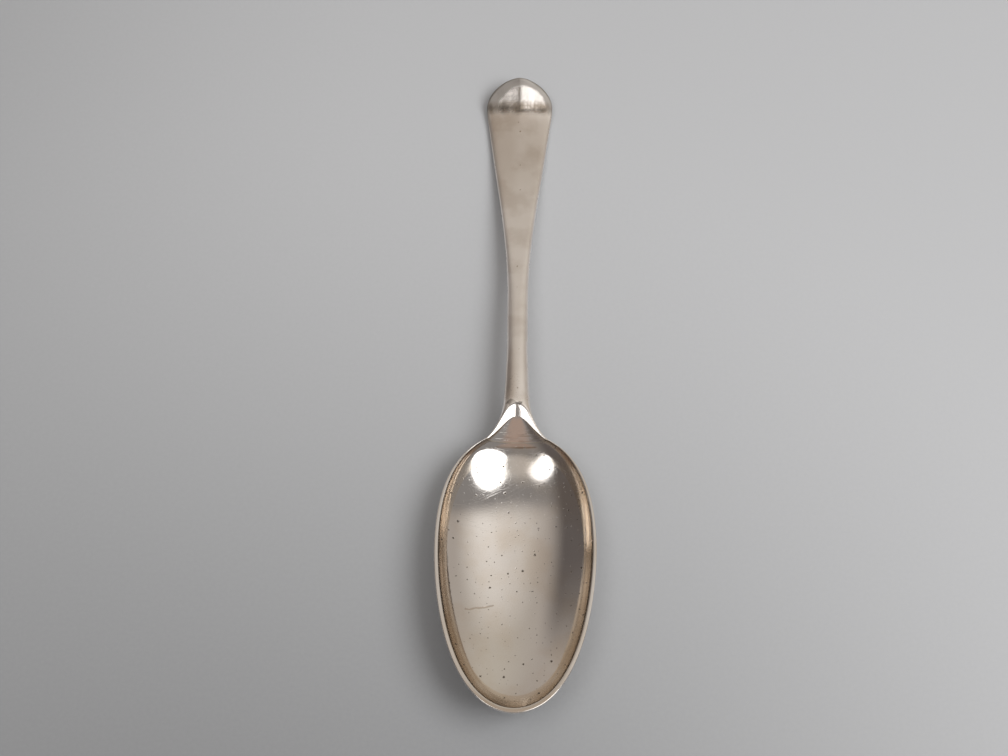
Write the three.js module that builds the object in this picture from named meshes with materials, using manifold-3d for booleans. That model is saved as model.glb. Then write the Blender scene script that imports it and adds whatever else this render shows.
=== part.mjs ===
// Tablespoon in silver, of the plain round-ended pattern: an egg-shaped bowl, a stem
// that flares into two shoulders, a short drop under the heel and a turned-up end
// with a low ridge in front. Millimetres. The spoon lies bowl up, handle towards +Y.
//
// Heights are measured from the table and lengths from the joint, which crosses the
// spoon where the shoulders meet the rim. The bowl lies at negative y, the handle at
// positive y. The finished group is centred over its own box at the end.

import * as THREE from 'three';
import { mergeVertices } from 'three/addons/utils/BufferGeometryUtils.js';
import Module from 'manifold-3d';

const wasm = await Module();
wasm.setup();

// Bowl
const BOWL_LENGTH = 78.4;       // joint to tip
const BOWL_WIDTH = 44.1;
const BOWL_DEPTH = 10.0;        // rim to floor at the deepest place
const BOWL_DEEPEST = 34.0;      // joint to deepest place
const BOWL_WALL = 1.15;         // metal under the deepest place
const RIM_WIDTH = 1.1;
const RIM_TIP_WIDTH = 1.4;
const RIM_TILT = 4.0;           // degrees, the tip lies higher than the shoulders
const SHOULDER_CLOSE = 2.15;    // the egg outline would close this far past the joint
const BACK_RISE = 2.4;          // back at the joint above the table
const WEAR_FLAT = 0.06;         // metal worn off where the spoon rests

// Heel, where the hollow runs up into the stem
const HEEL_REACH = 6.55;        // joint to the top of the hollow
const HEEL_TOP = 0.52;          // top of the hollow above the shoulders
const HEEL_SPREAD = 0.86;       // half width gained per mm down from the top
const HEEL_RADIUS = 2.1;        // round top of the hollow
const HEEL_LENGTH = 15.0;       // joint to where the heel has become the stem
const BEVEL_SLOPE = 23.0;       // degrees, the bright facets round the hollow's top
const BEVEL_VALLEY = 1.0;       // rounding between the two facets
const BEVEL_DROP = 0.08;        // the facets' valley lies this far below the hollow's top

// Handle
const HANDLE_LENGTH = 121.6;    // joint to end
const STEM_WIDTH = 6.0;
const STEM_DEPTH = 3.95;
const STEM_RISE = 1.98;         // top of the stem above the shoulders
const STEM_CREST_AT = 10.0;     // joint to the stem's highest place
const NECK_LENGTH = 27.0;       // joint to where the stem is narrowest
const STRAIGHT_LENGTH = 17.0;   // length that keeps the narrowest width
const END_WIDTH = 20.1;
const END_DEPTH = 2.25;         // thickness where the handle rests
const END_ROUND = 8.6;          // length of the rounded end
const END_EDGE = 0.9;           // length over which the end's edge is rounded
const END_RISE = 4.2;           // turned-up end above the resting place
const REST_FROM_END = 16.6;     // resting place to end
const RIDGE_LENGTH = 42.0;      // low ridge on the front, measured from the end
const RIDGE_FULL_AT = 6.9;      // end to where the ridge is full

// Drop, the tongue under the bowl's back
const DROP_LENGTH = 11.0;
const DROP_WIDTH = 9.2;
const DROP_HEIGHT = 0.85;
const DROP_TIP_HEIGHT = 0.5;
const DROP_ROOT = 11.0;         // joint to where the drop has run out in the stem
const DROP_SINK = 0.5;          // the drop's root lies this deep in the stem
const DROP_ROUND = 5.5;         // length of the drop's rounded end

// Joint
const SOLDER = 0.15;
const SEAT_INSET = 0.05;        // how far the flat seat lies inside the back at its ends

// Section curves, where 2 is an ellipse and more is squarer
const BOWL_SQUARE = 2.3;
const HEEL_SQUARE = 3.2;        // the hollow's wall near its top
const STEM_SQUARE = 2.7;
const SHOULDER_SQUARE = 9.0;
const END_SQUARE = 7.0;
const BACK_SQUARE = 3.2;
const TIP_SQUARE = 2.2;
const EDGE_SQUARE = 2.6;
const RIDGE_FALL = 0.6;         // share of the end's front that falls away to the sides
const RIDGE_REST_FALL = 0.2;    // the same at the resting place
const RIDGE_CURVE = 1.2;        // 1 is a sharp ridge, 2 a round one

// Outline and side curves
const EGG_HEEL = 0.1217;        // fuller towards the heel
const EGG_FULL = 0.1363;        // fuller at both ends
const BACK_EASE = 3.53;         // how quickly the back levels out below the heel
const NECK_TAPER = 0.16;        // share of the flare that is an even taper
const NECK_FLARE = 5.5;         // how suddenly the shoulders spread
const WIDEN_AT = 0.62;          // where the handle widens fastest, as a share of its widening
const WIDEN_SHARE = 0.535;      // share of the widening gained there
const WIDEN_SPEED = 2.6;        // its slope there, against an even widening
const FALL_AT = 0.55;           // where the handle falls fastest, as a share of its fall
const FALL_SHARE = 0.45;        // share of the fall made there
const FALL_SPEED = 1.3;         // its slope there, against an even fall
const THIN_SHARE = 0.3;         // share of the stem's extra thickness left there
const THIN_SLOPE = -0.02;
const TURN_FROM_END = 7.7;      // end to where the turned-up end has begun
const TURN_SHARE = 0.2;         // share of the turned-up end's rise made there
const TURN_SPEED = 1.4;         // its slope there, against an even rise
const TURN_END_SPEED = 2.4;     // its slope at the end
const END_THIN = 0.34;          // the end is this much thinner than the resting place

// Making
const BOWL_STEPS = 34;
const HEEL_STEPS = 16;
const STEM_STEPS = 26;
const END_STEPS = 14;
const ACROSS = 28;
const PEAK_SAMPLES = 400;
const HALVINGS = 40;
const TOOL_TOP = 40.0;          // cutting tools reach this high
const TOOL_SIDE = 60.0;
const TIP_GAP = 0.012;          // a rounded end stops this far short of closing
const LIP_DROP = 0.04;          // the hollow's curve ends just below the rim's flat
const DROP_INSIDE = 0.9;        // the drop keeps to this share of the spoon's half width
const SLIVER = 0.01;            // edges and faces thinner than this are merged away
const SEAM_SLIVER = 0.004;

const radians = THREE.MathUtils.degToRad;

// A curve through knots [y, value, slope], each stretch a cubic
function through(knots, y) {
  const last = knots.length - 1;
  if (y <= knots[0][0]) {
    return knots[0][1];
  }
  if (y >= knots[last][0]) {
    return knots[last][1];
  }
  const i = knots.findIndex((knot) => knot[0] > y) - 1;
  const [y0, v0, s0] = knots[i];
  const [y1, v1, s1] = knots[i + 1];
  const span = y1 - y0;
  const t = (y - y0) / span;
  const rest = 1 - t;
  const ends = v0 * rest * rest * (1 + 2 * t) + v1 * t * t * (3 - 2 * t);
  return ends + span * t * rest * (s0 * rest - s1 * t);
}

// Fullness of a section at the share v of its half width, 1 in the middle, 0 at the side
function fullness(v, square) {
  return Math.sqrt(Math.max(0, 1 - Math.abs(v) ** square));
}

// Egg outline between its two closed ends
function egg(y, tip, close) {
  const u = (2 * y - tip - close) / (close - tip);
  return Math.sqrt(Math.max(0, 1 - u * u)) * (1 + EGG_HEEL * u + EGG_FULL * u * u);
}

function eggPeak(tip, close) {
  const step = (close - tip) / PEAK_SAMPLES;
  const samples = Array.from({ length: PEAK_SAMPLES }, (_, i) => egg(tip + step * i, tip, close));
  return Math.max(...samples);
}

// Outlines seen from above
const bowlTip = -BOWL_LENGTH;
const hollowTip = bowlTip + RIM_TIP_WIDTH;
const hollowClose = SHOULDER_CLOSE - RIM_WIDTH / 2;
const bowlScale = BOWL_WIDTH / 2 / eggPeak(bowlTip, SHOULDER_CLOSE);
const hollowScale = (BOWL_WIDTH / 2 - RIM_WIDTH) / eggPeak(hollowTip, hollowClose);

const stemHalf = STEM_WIDTH / 2;
const endHalf = END_WIDTH / 2;
const shoulderHalf = bowlScale * egg(0, bowlTip, SHOULDER_CLOSE);
const straightEnd = NECK_LENGTH + STRAIGHT_LENGTH;
const roundStart = HANDLE_LENGTH - END_ROUND;

function neckHalf(y) {
  const s = 1 - y / NECK_LENGTH;
  const flare = NECK_TAPER * s + (1 - NECK_TAPER) * s ** NECK_FLARE;
  return stemHalf + (shoulderHalf - stemHalf) * flare;
}

const widening = roundStart - straightEnd;
const gained = (endHalf - stemHalf) * WIDEN_SHARE;
const WIDEN = [
  [straightEnd, stemHalf, 0],
  [straightEnd + widening * WIDEN_AT, stemHalf + gained, (WIDEN_SPEED * gained) / widening],
  [roundStart, endHalf, 0],
];

function handleHalf(y) {
  if (y < NECK_LENGTH) {
    return neckHalf(y);
  }
  if (y > roundStart) {
    const q = (y - roundStart) / END_ROUND;
    return endHalf * Math.sqrt(Math.max(0, 1 - q * q));
  }
  return through(WIDEN, y);
}

function outerHalf(y) {
  return y < 0 ? bowlScale * egg(y, bowlTip, SHOULDER_CLOSE) : handleHalf(y);
}

// The heel's round-topped arch, which meets the bowl's own hollow near the joint
function archHalf(y) {
  const down = Math.max(0, HEEL_REACH - y);
  return Math.sqrt(2 * HEEL_RADIUS * down + (HEEL_SPREAD * down) ** 2);
}

function hollowHalf(y) {
  const bowl = y < hollowClose ? hollowScale * egg(y, hollowTip, hollowClose) : 0;
  return y > -HEEL_REACH / 2 ? Math.max(bowl, archHalf(y)) : bowl;
}

// Side view of the bowl
const tilt = Math.tan(radians(RIM_TILT));
const floorLow = BOWL_WALL;
const shoulderZ = floorLow + BOWL_DEPTH - BOWL_DEEPEST * tilt;
const apexZ = shoulderZ + HEEL_TOP;

function rimZ(y) {
  return shoulderZ - y * tilt;
}

function tipRise(y, tip) {
  const q = Math.min(1, (-y - BOWL_DEEPEST) / (-tip - BOWL_DEEPEST));
  return 1 - Math.sqrt(Math.max(0, 1 - q ** TIP_SQUARE));
}

// The bowl's hollow is one curve from its deepest place out to its egg outline, whichever
// way it runs. The share of that way at which x, y lies is found by halving.
function dishShare(x, y) {
  let low = 0;
  let high = 1;
  for (let i = 0; i < HALVINGS; i += 1) {
    const share = (low + high) / 2;
    const rimY = (y + BOWL_DEEPEST) / share - BOWL_DEEPEST;
    if (Math.abs(x) / share < hollowScale * egg(rimY, hollowTip, hollowClose)) {
      high = share;
    } else {
      low = share;
    }
  }
  return high;
}

function dishZ(x, y) {
  const share = dishShare(x, y);
  const lip = rimZ((y + BOWL_DEEPEST) / share - BOWL_DEEPEST);
  return lip - (lip - floorLow) * fullness(share, BOWL_SQUARE);
}

// Side view of the handle: the crest is the top line, the back is the underside
const crestTop = shoulderZ + STEM_RISE;
const restAt = HANDLE_LENGTH - REST_FROM_END;
const fallLength = restAt - STEM_CREST_AT;
const fallHeight = crestTop - END_DEPTH;
const fallAt = STEM_CREST_AT + fallLength * FALL_AT;
const evenTurn = END_RISE / REST_FROM_END;
const CREST = [
  [0, shoulderZ, Math.tan(radians(BEVEL_SLOPE))],
  [STEM_CREST_AT, crestTop, 0],
  [fallAt, crestTop - fallHeight * FALL_SHARE, (-FALL_SPEED * fallHeight) / fallLength],
  [restAt, END_DEPTH, 0],
  [HANDLE_LENGTH - TURN_FROM_END, END_DEPTH + END_RISE * TURN_SHARE, evenTurn * TURN_SPEED],
  [HANDLE_LENGTH, END_DEPTH + END_RISE, evenTurn * TURN_END_SPEED],
];
const DEPTH = [
  [HEEL_LENGTH, STEM_DEPTH, THIN_SLOPE],
  [fallAt, END_DEPTH + (STEM_DEPTH - END_DEPTH) * THIN_SHARE, THIN_SLOPE],
  [restAt, END_DEPTH, 0],
  [HANDLE_LENGTH, END_DEPTH - END_THIN, THIN_SLOPE],
];

function crestZ(y) {
  return through(CREST, y);
}

const HEEL_BACK = [
  [0, BACK_RISE, (BACK_RISE * BACK_EASE) / BOWL_DEEPEST],
  [HEEL_LENGTH, crestZ(HEEL_LENGTH) - STEM_DEPTH, 0],
];

function backZ(y) {
  if (y < -BOWL_DEEPEST) {
    return rimZ(bowlTip) * tipRise(y, bowlTip);
  }
  if (y < 0) {
    return BACK_RISE * (1 + y / BOWL_DEEPEST) ** BACK_EASE;
  }
  return y < HEEL_LENGTH ? through(HEEL_BACK, y) : crestZ(y) - through(DEPTH, y);
}

// Height of the widest line of each section
const HEEL_SIDE = [
  [0, shoulderZ, -tilt],
  [HEEL_LENGTH, (crestZ(HEEL_LENGTH) + backZ(HEEL_LENGTH)) / 2, 0],
];

function sideZ(y) {
  if (y <= 0) {
    return rimZ(y);
  }
  return y < HEEL_LENGTH ? through(HEEL_SIDE, y) : (crestZ(y) + backZ(y)) / 2;
}

// Section shapes along the handle
const ridgeStart = HANDLE_LENGTH - RIDGE_LENGTH;
const TOP_SQUARE = [
  [0, SHOULDER_SQUARE, 0],
  [HEEL_LENGTH, STEM_SQUARE, 0],
  [straightEnd, STEM_SQUARE, 0],
  [ridgeStart, END_SQUARE, 0],
];
const UNDER_SQUARE = [
  [-HEEL_REACH, BOWL_SQUARE, 0],
  [HEEL_LENGTH, BACK_SQUARE, 0],
];
const ridgeGrowth = RIDGE_REST_FALL / (restAt - ridgeStart);
const RIDGE = [
  [ridgeStart, 0, 0],
  [restAt, RIDGE_REST_FALL, 2 * ridgeGrowth],
  [HANDLE_LENGTH - RIDGE_FULL_AT, RIDGE_FALL, 0],
];

// 1 along the handle, falling to 0 where the end's edge closes
function endEdge(y) {
  return fullness(Math.max(0, (y - HANDLE_LENGTH + END_EDGE) / END_EDGE), EDGE_SQUARE);
}

function topZ(y, v) {
  if (y <= 0) {
    return rimZ(y);
  }
  const fall = 1 - through(RIDGE, y) * Math.abs(v) ** RIDGE_CURVE;
  const rise = (crestZ(y) - sideZ(y)) * endEdge(y);
  return sideZ(y) + rise * fullness(v, through(TOP_SQUARE, y)) * fall;
}

function underZ(y, v) {
  const rise = (sideZ(y) - backZ(y)) * endEdge(y);
  return sideZ(y) - rise * fullness(v, through(UNDER_SQUARE, y));
}

// Past the joint the hollow's wall climbs evenly to its top, and grows flatter across
const jointHalf = hollowScale * egg(0, hollowTip, hollowClose);
const jointFloor = dishZ(0, 0);

function hollowZ(y, v) {
  if (y <= 0) {
    return dishZ(hollowHalf(y) * v, y);
  }
  const up = y / HEEL_REACH;
  const lip = shoulderZ + HEEL_TOP * up;
  const floor = jointFloor + (apexZ - jointFloor) * up;
  const atJoint = (shoulderZ - dishZ(jointHalf * v, 0)) / (shoulderZ - jointFloor);
  const depth = atJoint + (fullness(v, HEEL_SQUARE) - atJoint) * up;
  return lip - (lip - floor) * depth;
}

// Shares of a half width, closer together towards the sides where sections turn
function sharesAcross(count) {
  return Array.from({ length: count + 1 }, (_, i) => -Math.cos((Math.PI * i) / count));
}

// Stations along y, closer together towards a rounded end, which stays a little short
function stationsAlong(from, to, count, roundFrom, roundTo) {
  const stations = Array.from({ length: count + 1 }, (_, i) => {
    const t = i / count;
    const half = (Math.PI * t) / 2;
    if (roundFrom) {
      return from + (to - from) * (1 - Math.cos(half));
    }
    return from + (to - from) * (roundTo ? Math.sin(half) : t);
  });
  if (roundFrom) {
    stations[0] = from + TIP_GAP;
  }
  if (roundTo) {
    stations[count] = to - TIP_GAP;
  }
  return stations;
}

// A closed solid through rings of points that all have the same count
function loft(rings) {
  const points = rings.flat();
  const count = rings[0].length;
  const faces = [];
  for (let r = 0; r < rings.length - 1; r += 1) {
    for (let i = 0; i < count; i += 1) {
      const j = (i + 1) % count;
      const a = r * count + i;
      const b = r * count + j;
      faces.push(a, b + count, b, a, a + count, b + count);
    }
  }
  const lastRing = (rings.length - 1) * count;
  for (let i = 1; i < count - 1; i += 1) {
    faces.push(0, i, i + 1, lastRing, lastRing + i + 1, lastRing + i);
  }
  const geometry = new THREE.BufferGeometry();
  geometry.setAttribute('position', new THREE.Float32BufferAttribute(points.flat(), 3));
  geometry.setIndex(faces);
  return geometry;
}

function solid(geometry) {
  const bare = geometry.clone();
  bare.deleteAttribute('normal');
  bare.deleteAttribute('uv');
  const merged = mergeVertices(bare, 1e-5);
  return new wasm.Manifold(new wasm.Mesh({
    numProp: 3,
    vertProperties: new Float32Array(merged.attributes.position.array),
    triVerts: new Uint32Array(merged.index.array),
  }));
}

// The spoon before its hollow is cut
function blank() {
  const bowl = stationsAlong(bowlTip, 0, BOWL_STEPS, true, false);
  const heel = stationsAlong(0, HEEL_LENGTH, HEEL_STEPS, false, false).slice(1);
  const stem = stationsAlong(HEEL_LENGTH, restAt, STEM_STEPS, false, false).slice(1);
  const end = stationsAlong(restAt, HANDLE_LENGTH, END_STEPS, false, true).slice(1);
  const shares = sharesAcross(ACROSS);
  const rings = [...bowl, ...heel, ...stem, ...end].map((y) => {
    const half = outerHalf(y);
    const under = shares.map((v) => [half * v, y, underZ(y, v)]);
    const top = shares.slice(1, -1).reverse().map((v) => [half * v, y, topZ(y, v)]);
    return [...under, ...top];
  });
  return solid(loft(rings));
}

// A cutting tool with a shaped underside that reaches up past the spoon
function scoop(stations, halfAt, heightAt) {
  const shares = sharesAcross(ACROSS);
  const rings = stations.map((y) => {
    const half = halfAt(y);
    const under = shares.map((v) => [half * v, y, heightAt(y, v)]);
    return [...under, [half, y, TOOL_TOP], [-half, y, TOOL_TOP]];
  });
  return solid(loft(rings));
}

function hollowTool() {
  const bowl = stationsAlong(hollowTip, 0, BOWL_STEPS, true, false);
  const heel = stationsAlong(0, HEEL_REACH, HEEL_STEPS / 2, false, true).slice(1);
  return scoop([...bowl, ...heel], hollowHalf, (y, v) => hollowZ(y, v) - LIP_DROP);
}

// Two bright facets fall from the stem into the top of the hollow and meet in a valley
const bevelFall = Math.tan(radians(BEVEL_SLOPE));
const bevelSpread = (bevelFall * HEEL_REACH - HEEL_TOP) / hollowHalf(0);

function bevelTool() {
  const stations = stationsAlong(-SOLDER / 2, HEEL_LENGTH, HEEL_STEPS, false, false);
  const half = shoulderHalf + RIM_WIDTH;
  const height = (y, v) => {
    const across = Math.hypot(half * v, BEVEL_VALLEY) - BEVEL_VALLEY;
    return apexZ - BEVEL_DROP + bevelFall * (y - HEEL_REACH) + bevelSpread * across;
  };
  return scoop(stations, () => half, height);
}

// The drop continues the stem's back as a raised tongue on the bowl's back
const DROP_SHAPE = [
  [-DROP_LENGTH, DROP_TIP_HEIGHT, (DROP_HEIGHT - DROP_TIP_HEIGHT) / DROP_LENGTH],
  [0, DROP_HEIGHT, 0],
  [DROP_ROOT, -DROP_SINK, 0],
];

function dropHalf(y) {
  const roundEnd = DROP_ROUND - DROP_LENGTH;
  const q = Math.max(0, (roundEnd - y) / DROP_ROUND);
  const half = (DROP_WIDTH / 2) * Math.sqrt(Math.max(0, 1 - q * q));
  return Math.min(half, outerHalf(y) * DROP_INSIDE);
}

function dropSolid() {
  const shares = sharesAcross(ACROSS / 2);
  const rings = stationsAlong(-DROP_LENGTH, DROP_ROOT, HEEL_STEPS, true, false).map((y) => {
    const half = dropHalf(y);
    const backAt = (v) => underZ(y, (half * v) / outerHalf(y));
    const under = shares.map((v) => [half * v, y, backAt(v) - through(DROP_SHAPE, y)]);
    const top = shares.slice().reverse().map((v) => [half * v, y, backAt(v) + BOWL_WALL / 2]);
    return [...under, ...top];
  });
  return solid(loft(rings));
}

// Everything beyond the joint on the bowl's side: behind a plane across the spoon and
// above the flat seat that the drop offers to the bowl's back
function bowlSide(setBack) {
  const seatFar = backZ(-DROP_LENGTH) - SEAT_INSET;
  const seatNear = BACK_RISE - SEAT_INSET;
  const slope = (seatNear - seatFar) / DROP_LENGTH;
  const seat = (y) => seatNear + slope * y + setBack * Math.hypot(1, slope);
  const corner = -setBack;
  const far = bowlTip * 2;
  const outline = new THREE.Shape([
    new THREE.Vector2(corner, seat(corner)),
    new THREE.Vector2(corner, TOOL_TOP),
    new THREE.Vector2(far, TOOL_TOP),
    new THREE.Vector2(far, seat(far)),
  ]);
  const geometry = new THREE.ExtrudeGeometry(outline, { depth: 2 * TOOL_SIDE, bevelEnabled: false });
  geometry.applyMatrix4(new THREE.Matrix4().makeBasis(
    new THREE.Vector3(0, 1, 0),
    new THREE.Vector3(0, 0, 1),
    new THREE.Vector3(1, 0, 0),
  ));
  geometry.translate(-TOOL_SIDE, 0, 0);
  return solid(geometry);
}

// The worn places that the spoon stands on are flat
function tableTool() {
  const geometry = new THREE.BoxGeometry(2 * TOOL_SIDE, 4 * HANDLE_LENGTH, TOOL_TOP);
  geometry.translate(0, 0, WEAR_FLAT - TOOL_TOP / 2);
  return solid(geometry);
}

const shaped = blank().add(dropSolid()).subtract(hollowTool()).subtract(bevelTool());
const spoon = shaped.subtract(tableTool()).simplify(SLIVER);
const beyondJoint = bowlSide(0);
const beyondSolder = bowlSide(SOLDER);

function piece(name, body, colour, roughness) {
  const mesh = body.simplify(SEAM_SLIVER).getMesh();
  const geometry = new THREE.BufferGeometry();
  geometry.setAttribute('position', new THREE.BufferAttribute(mesh.vertProperties, 3));
  geometry.setIndex(new THREE.BufferAttribute(mesh.triVerts, 1));
  geometry.computeVertexNormals();
  const material = new THREE.MeshStandardMaterial({ color: colour, roughness, metalness: 1 });
  const part = new THREE.Mesh(geometry, material);
  part.name = name;
  return part;
}

const group = new THREE.Group();
group.add(piece('bowl', spoon.intersect(beyondSolder), 0xcfc9bf, 0.18));
group.add(piece('handle', spoon.subtract(beyondJoint), 0xc4bbb0, 0.34));
group.add(piece('solder_seam', spoon.intersect(beyondJoint).subtract(beyondSolder), 0xb9ab94, 0.4));

// Origin under the middle of the spoon, on the table
const box = new THREE.Box3().setFromObject(group);
const middle = box.getCenter(new THREE.Vector3());
group.position.set(-middle.x, -middle.y, -box.min.z);

export default group;
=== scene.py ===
"""Tablespoon in worn silver, lying bowl up on a plain grey ground.

The packed model gives the frame. The bowl, the handle and the solder between them are
made again here as smooth surfaces, from the same curves as the packed pieces.
Lengths along the spoon are measured from the joint, where the shoulders meet the rim,
and heights from the table.
"""

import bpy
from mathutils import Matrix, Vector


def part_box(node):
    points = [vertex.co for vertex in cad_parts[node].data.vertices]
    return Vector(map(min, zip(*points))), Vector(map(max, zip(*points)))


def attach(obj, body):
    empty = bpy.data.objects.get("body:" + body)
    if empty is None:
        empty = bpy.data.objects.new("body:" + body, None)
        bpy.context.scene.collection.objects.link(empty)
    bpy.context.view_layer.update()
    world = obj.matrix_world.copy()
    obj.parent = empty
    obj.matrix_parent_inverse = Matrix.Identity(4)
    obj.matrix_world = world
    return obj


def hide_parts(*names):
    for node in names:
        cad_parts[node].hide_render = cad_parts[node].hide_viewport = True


bl_info = {
    "name": "Silver tablespoon",
    "version": (1, 0, 0),
    "blender": (4, 5, 0),
    "location": "3D View > Sidebar > Tablespoon",
    "description": "Smooth silver pieces around the packed tablespoon, with a studio stage",
    "category": "Add Mesh",
}

import math
from types import SimpleNamespace

import bmesh
import bpy
import numpy as np
from bpy.props import FloatProperty, FloatVectorProperty, IntProperty, PointerProperty
from bpy.types import Operator, Panel, PropertyGroup
from mathutils import Matrix, Vector

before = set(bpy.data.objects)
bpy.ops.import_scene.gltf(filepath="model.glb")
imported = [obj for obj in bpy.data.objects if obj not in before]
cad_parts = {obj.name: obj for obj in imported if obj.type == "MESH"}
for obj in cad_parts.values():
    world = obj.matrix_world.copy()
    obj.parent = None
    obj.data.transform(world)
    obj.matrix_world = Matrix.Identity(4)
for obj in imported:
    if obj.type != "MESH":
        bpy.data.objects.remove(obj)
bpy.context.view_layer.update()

MM = 0.001
HALF_TURN = math.pi
QUARTER_TURN = math.pi / 2
BOWL_LOW, BOWL_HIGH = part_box("bowl")
HANDLE_LOW, HANDLE_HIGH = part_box("handle")
_, SEAM_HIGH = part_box("solder_seam")
JOINT_Y = SEAM_HIGH.y
BOWL_LENGTH = JOINT_Y - BOWL_LOW.y
BOWL_WIDTH = BOWL_HIGH.x - BOWL_LOW.x
HANDLE_LENGTH = HANDLE_HIGH.y - JOINT_Y
END_WIDTH = HANDLE_HIGH.x - HANDLE_LOW.x
SOLDER = SEAM_HIGH.y - BOWL_HIGH.y

# Section curves, where 2 is an ellipse and more is squarer
HOLLOW_SQUARE = 2.3
HEEL_SQUARE = 3.2
BOWL_SQUARE = 2.3
TIP_SQUARE = 2.2
BACK_SQUARE = 3.2
STEM_SQUARE = 2.7
SHOULDER_SQUARE = 9.0
END_SQUARE = 10.0
CURL_SQUARE = 26.0
DROP_SQUARE = 5.0
EDGE_SQUARE = 2.6

# Outline and side curves
EGG_HEEL = 0.1217
EGG_FULL = 0.1363
BACK_EASE = 3.53
NECK_TAPER = 0.16
NECK_FLARE = 5.5
WIDEN_AT = 0.62
WIDEN_SHARE = 0.535
WIDEN_SPEED = 2.5
WIDE_LEFT = 0.06
WIDE_SHARE = 0.955
WIDE_SPEED = 2.6
END_CURVE = 1.85
FALL_AT = 0.55
FALL_SHARE = 0.45
FALL_SPEED = 1.3
THIN_SHARE = 0.3
THIN_SLOPE = -0.02
TURN_SHARE = 0.22
TURN_SPEED = 1.13
CURL_SHARE = 0.703
CURL_SPEED = 1.4
TURN_END_SPEED = 2.9
RIDGE_FALL = 0.85
RIDGE_REST_FALL = 0.2
RIDGE_CURVE = 1.08
RIDGE_ROUND = 0.00025
DROP_INSIDE = 0.9
ARCH_FROM = -0.5
TINY = 1e-9

# Mesh fineness
SECTION_SIDE = 26
SECTION_DROP = 32
SECTION_TOP = 46
SECTION_HOLLOW = 60
HEEL_ROWS = 90
NECK_ROWS = 90
STEM_ROWS = 110
END_ROWS = 70
TONGUE_ROWS = 60
SAME_POINT = 2e-6
SHARP = math.radians(40)


def length(name, text, millimetres):
    return FloatProperty(name=name, description=text, default=millimetres * MM, precision=5, unit="LENGTH")


def angle(name, text, degrees):
    return FloatProperty(name=name, description=text, default=math.radians(degrees), unit="ROTATION")


def colour(name, text, value):
    return FloatVectorProperty(name=name, description=text, default=value, min=0, max=1, subtype="COLOR")


def number(name, text, value):
    return FloatProperty(name=name, description=text, default=value)


class BowlSizes(PropertyGroup):
    """Sizes of the bowl and of the hollow that runs into the stem"""

    bowl_length: length("Bowl length", "Joint to tip", BOWL_LENGTH / MM)
    width: length("Bowl width", "Over the rim", BOWL_WIDTH / MM)
    depth: length("Bowl depth", "Rim to floor at the deepest place", 10.0)
    deepest: length("Deepest place", "Joint to the deepest place", 34.0)
    wall: length("Wall", "Metal under the deepest place", 1.15)
    rim_width: length("Rim width", "Flat rim at the sides", 1.1)
    rim_tip_width: length("Rim width at the tip", "Flat rim at the tip", 1.4)
    rim_heel: length("Rim at the shoulders", "The hollow's outline closes this much sooner", 0.12)
    rim_tilt: angle("Rim tilt", "The tip lies higher than the shoulders", 4.0)
    closing: length("Outline closing", "Where the egg outline would close, past the joint", 2.15)
    back_rise: length("Back rise", "Back at the joint above the ground", 2.4)
    wear: length("Wear", "Metal worn off where the spoon rests", 0.06)
    edge: length("Rim rounding", "Radius of the rim's outer edge", 0.27)
    edge_in: length("Inner rounding", "Width of the rim's rounded inner edge", 0.45)
    gap: length("Joint gap", "Thickness of the solder", SOLDER / MM)
    reach: length("Hollow reach", "Joint to the top of the hollow", 6.55)
    top: length("Hollow top", "Top of the hollow above the shoulders", 0.52)
    flare: number("Hollow flare", "Widening to the joint, per metre", 118.0)
    arch: length("Hollow arch", "Radius of the hollow's round top", 2.55)
    heel_length: length("Heel length", "Joint to where the heel has become the stem", 15.0)


class HandleSizes(PropertyGroup):
    """Sizes of the handle and of the drop under the bowl"""

    handle_length: length("Handle length", "Joint to end", HANDLE_LENGTH / MM)
    stem_width: length("Stem width", "Narrowest width", 6.0)
    stem_depth: length("Stem depth", "Thickness of the stem", 3.95)
    stem_rise: length("Stem rise", "Top of the stem above the shoulders", 1.82)
    crest_at: length("Crest", "Joint to the stem's highest place", 10.0)
    neck_length: length("Neck length", "Joint to where the stem is narrowest", 27.0)
    straight: length("Straight length", "Length of the narrowest stretch", 17.0)
    end_width: length("End width", "Widest width of the end", END_WIDTH / MM)
    end_depth: length("End depth", "Thickness where the handle rests", 2.25)
    end_thin: length("End thinning", "The end is this much thinner", 0.34)
    end_round: length("End rounding", "Length of the rounded end", 8.6)
    end_edge: length("End edge", "Length over which the end's edge is rounded", 0.9)
    end_rise: length("End rise", "Turned-up end above the resting place", 4.55)
    rest: length("Rest", "Resting place to end", 16.6)
    turn: length("Turn", "End to where the turned-up end has begun", 8.9)
    curl: length("Curl", "End to where the end turns up more", 2.4)
    ridge: length("Ridge length", "Length of the ridge on the front", 42.0)
    ridge_full: length("Ridge full", "End to where the ridge is full", 6.9)
    facet_slope: angle("Facet slope", "Slope of the facets round the hollow's top", 23.0)
    facet_valley: length("Facet valley", "Rounding between the facets", 0.8)
    facet_drop: length("Facet drop", "Valley below the hollow's top", 0.08)
    crease: length("Crease", "Rounding of the worn edges", 0.2)
    facet_top: length("Facet top", "Rounding where the facets meet the stem", 0.5)
    drop_length: length("Drop length", "Joint to the drop's tip", 11.0)
    drop_width: length("Drop width", "Width of the drop", 9.2)
    drop_height: length("Drop height", "Height of the drop at the joint", 0.85)
    drop_tip: length("Drop tip height", "Height of the drop near its tip", 0.5)
    drop_root: length("Drop root", "Joint to where the drop has run out", 11.0)
    drop_sink: length("Drop sink", "Depth of the drop's root in the stem", 0.5)
    drop_round: length("Drop rounding", "Length of the drop's rounded end", 5.5)
    bead: length("Solder bead", "Radius of the solder along the drop", 0.2)


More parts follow.
